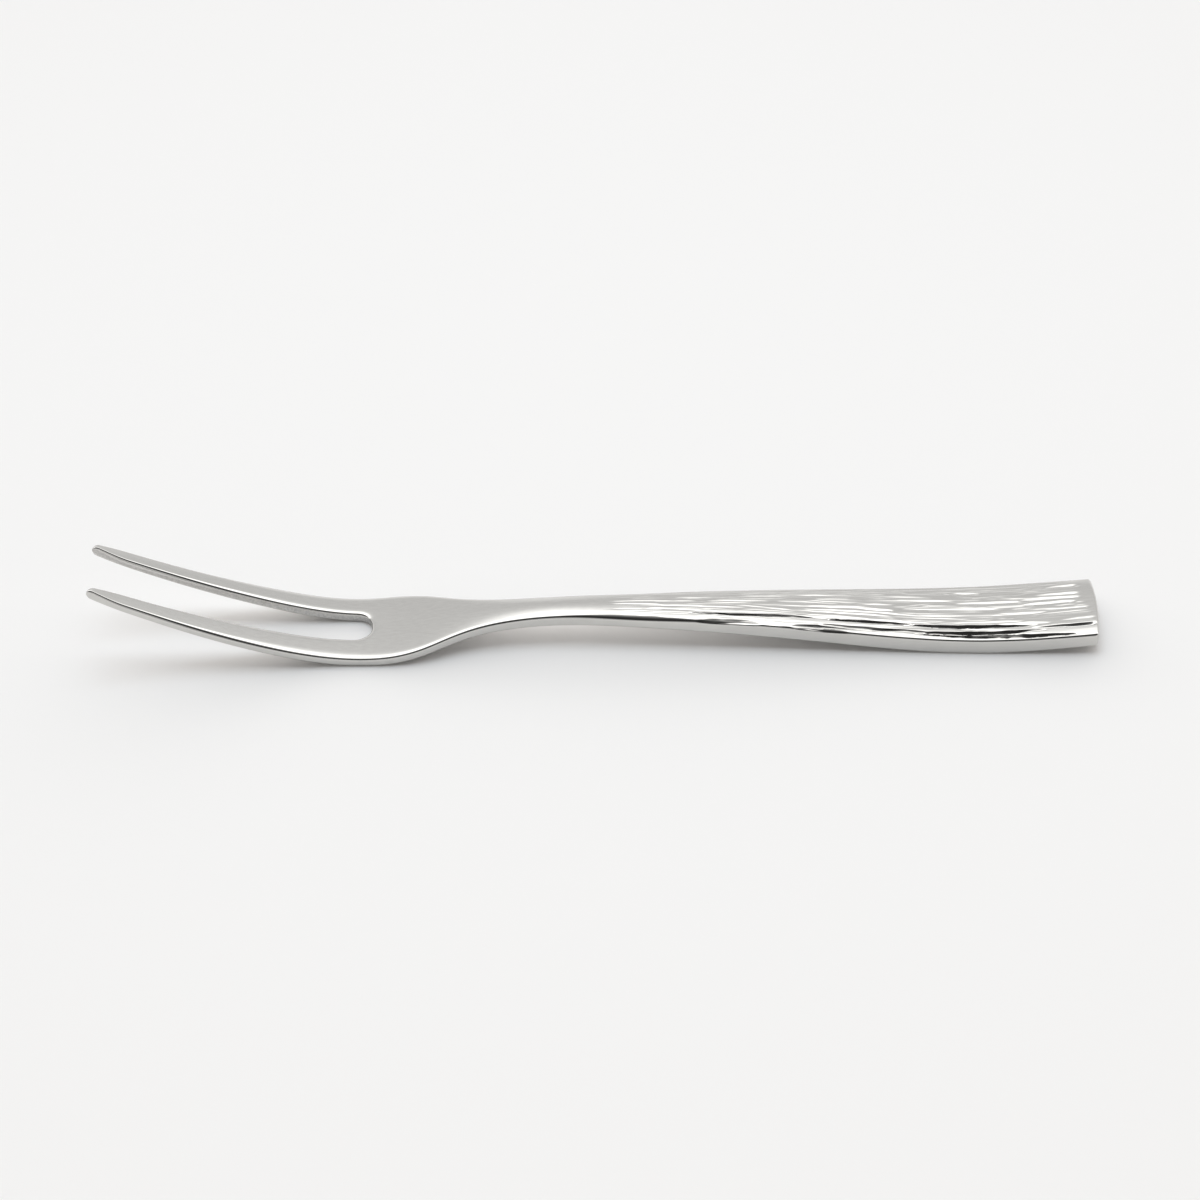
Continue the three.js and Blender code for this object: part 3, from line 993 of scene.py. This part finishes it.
# Brightness of the studio in the steel, from the horizon behind the fork (0) over its top (0.5) to
# the horizon in front of it (1): a pale sweep, a bright strip overhead, dark round the camera, and paler
# again low in front
STUDIO_STOPS = (
    (0, 1.12),
    (0.08, 1),
    (0.15, 0.785),
    (0.2, 0.785),
    (0.25, 0.87),
    (0.28, 1),
    (0.31, 1.3),
    (0.36, 1.85),
    (0.46, 2.5),
    (0.5, 2.5),
    (0.54, 1.2),
    (0.59, 0.36),
    (0.66, 0.09),
    (0.73, 0.03),
    (0.82, 0.04),
    (0.87, 0.3),
    (0.93, 0.6),
    (1, 0.68),
)

# Brightness of the same studio on the floor, which is lit most from low behind the fork
FILL_STOPS = (
    (0, 1.6),
    (0.05, 2.4),
    (0.1, 2.95),
    (0.15, 2.15),
    (0.2, 1.26),
    (0.3, 1.21),
    (0.4, 1.21),
    (0.46, 1.16),
    (0.52, 0.89),
    (0.58, 0.38),
    (0.63, 0.17),
    (0.7, 0.12),
    (0.78, 0.48),
    (1, 0.58),
)


def shade_stops(ramp, stops):
    """Sets a colour ramp to grey stops of (place, level)."""
    first, *others = stops
    ramp.elements.remove(ramp.elements[1])
    ramp.elements[0].position = first[0]
    for place, _ in others:
        ramp.elements.new(place)
    for element, (_, level) in zip(ramp.elements, stops):
        element.color = (level, level, level, 1)


def add_world(studio):
    """A pale studio with one look in the steel, another on the floor and a plain one to the camera."""
    world = bpy.data.worlds.new("studio")
    bpy.context.scene.world = world
    world.use_nodes = True
    tree = world.node_tree
    way = link_node(tree, "ShaderNodeTexCoord").outputs["Generated"]
    split = link_node(tree, "ShaderNodeSeparateXYZ", {0: way})
    angle = link_node(
        tree, "ShaderNodeMath", {0: split.outputs["Z"], 1: split.outputs["Y"]}, operation="ARCTAN2"
    )
    turn = link_node(
        tree, "ShaderNodeMapRange", {"Value": angle.outputs[0], "From Max": math.pi}
    )
    sheen = link_node(tree, "ShaderNodeValToRGB", {0: turn.outputs[0]})
    shade_stops(sheen.color_ramp, STUDIO_STOPS)
    in_steel = link_node(
        tree, "ShaderNodeBackground", {"Color": sheen.outputs[0], "Strength": studio.sweep}
    )
    glow = link_node(tree, "ShaderNodeValToRGB", {0: turn.outputs[0]})
    shade_stops(glow.color_ramp, FILL_STOPS)
    warm = link_node(
        tree, "ShaderNodeVectorMath", {0: glow.outputs[0], 1: studio.warmth}, operation="MULTIPLY"
    )
    on_floor = link_node(
        tree, "ShaderNodeBackground", {"Color": warm.outputs[0], "Strength": studio.fill}
    )
    pale = tree.nodes["Background"]
    pale.inputs["Color"].default_value = (*studio.floor, 1)
    rays = link_node(tree, "ShaderNodeLightPath").outputs
    lit = link_node(
        tree,
        "ShaderNodeMixShader",
        {0: rays["Is Glossy Ray"], 1: on_floor.outputs[0], 2: in_steel.outputs[0]},
    )
    shown = link_node(
        tree,
        "ShaderNodeMixShader",
        {0: rays["Is Camera Ray"], 1: lit.outputs[0], 2: pale.outputs[0]},
    )
    tree.links.new(shown.outputs[0], tree.nodes["World Output"].inputs["Surface"])


def add_camera(studio):
    """The photograph's camera, aimed a little behind the middle of the fork."""
    aim = Vector((0.505, 6.84, 0)) * MM
    camera = bpy.data.cameras.new("camera")
    camera.sensor_fit = "HORIZONTAL"
    camera.sensor_width = 36
    camera.lens = studio.lens
    camera.clip_start = 0.01
    eye = bpy.data.objects.new("camera", camera)
    tilt = Matrix.Rotation(math.pi / 2 - studio.elevation, 4, "X")
    turned = tilt @ Matrix.Rotation(studio.roll, 4, "Z")
    back = turned.col[2].to_3d()
    eye.matrix_world = Matrix.Translation(aim + back * studio.distance) @ turned
    bpy.context.scene.collection.objects.link(eye)
    bpy.context.scene.camera = eye


class FORK_OT_stage(Operator):
    """Sets the floor, the light and the camera"""

    bl_idname = "fork.stage"
    bl_label = "Stage"

    def execute(self, context):
        studio = context.scene.fork_studio
        add_floor(studio)
        add_softbox(studio)
        add_world(studio)
        add_camera(studio)
        context.scene.view_settings.view_transform = "Standard"
        return {"FINISHED"}


class FORK_PT_build(Panel):
    """Lists the fork's pieces and its stage"""

    bl_idname = "FORK_PT_build"
    bl_label = "Fruit fork"
    bl_space_type = "VIEW_3D"
    bl_region_type = "UI"
    bl_category = "Fruit fork"

    def draw(self, context):
        for operator in OPERATORS:
            self.layout.operator(operator.bl_idname)
        for name in SETTINGS:
            settings = getattr(context.scene, name)
            box = self.layout.box()
            for key in settings.__annotations__:
                box.prop(settings, key)


SETTINGS = {
    "fork_sizes": ForkSizes,
    "fork_grain": BarkGrain,
    "fork_finish": SteelFinish,
    "fork_studio": Studio,
}
OPERATORS = (FORK_OT_tines, FORK_OT_head, FORK_OT_neck, FORK_OT_handle, FORK_OT_stage)
CLASSES = (*SETTINGS.values(), *OPERATORS, FORK_PT_build)


def register():
    for cls in CLASSES:
        bpy.utils.register_class(cls)
    for name, group in SETTINGS.items():
        setattr(bpy.types.Scene, name, PointerProperty(type=group))


def unregister():
    for name in SETTINGS:
        delattr(bpy.types.Scene, name)
    for cls in reversed(CLASSES):
        bpy.utils.unregister_class(cls)


def main():
    register()
    bpy.ops.fork.tines()
    bpy.ops.fork.head()
    bpy.ops.fork.neck()
    bpy.ops.fork.handle()
    bpy.ops.fork.stage()


if __name__ == "__main__":
    main()
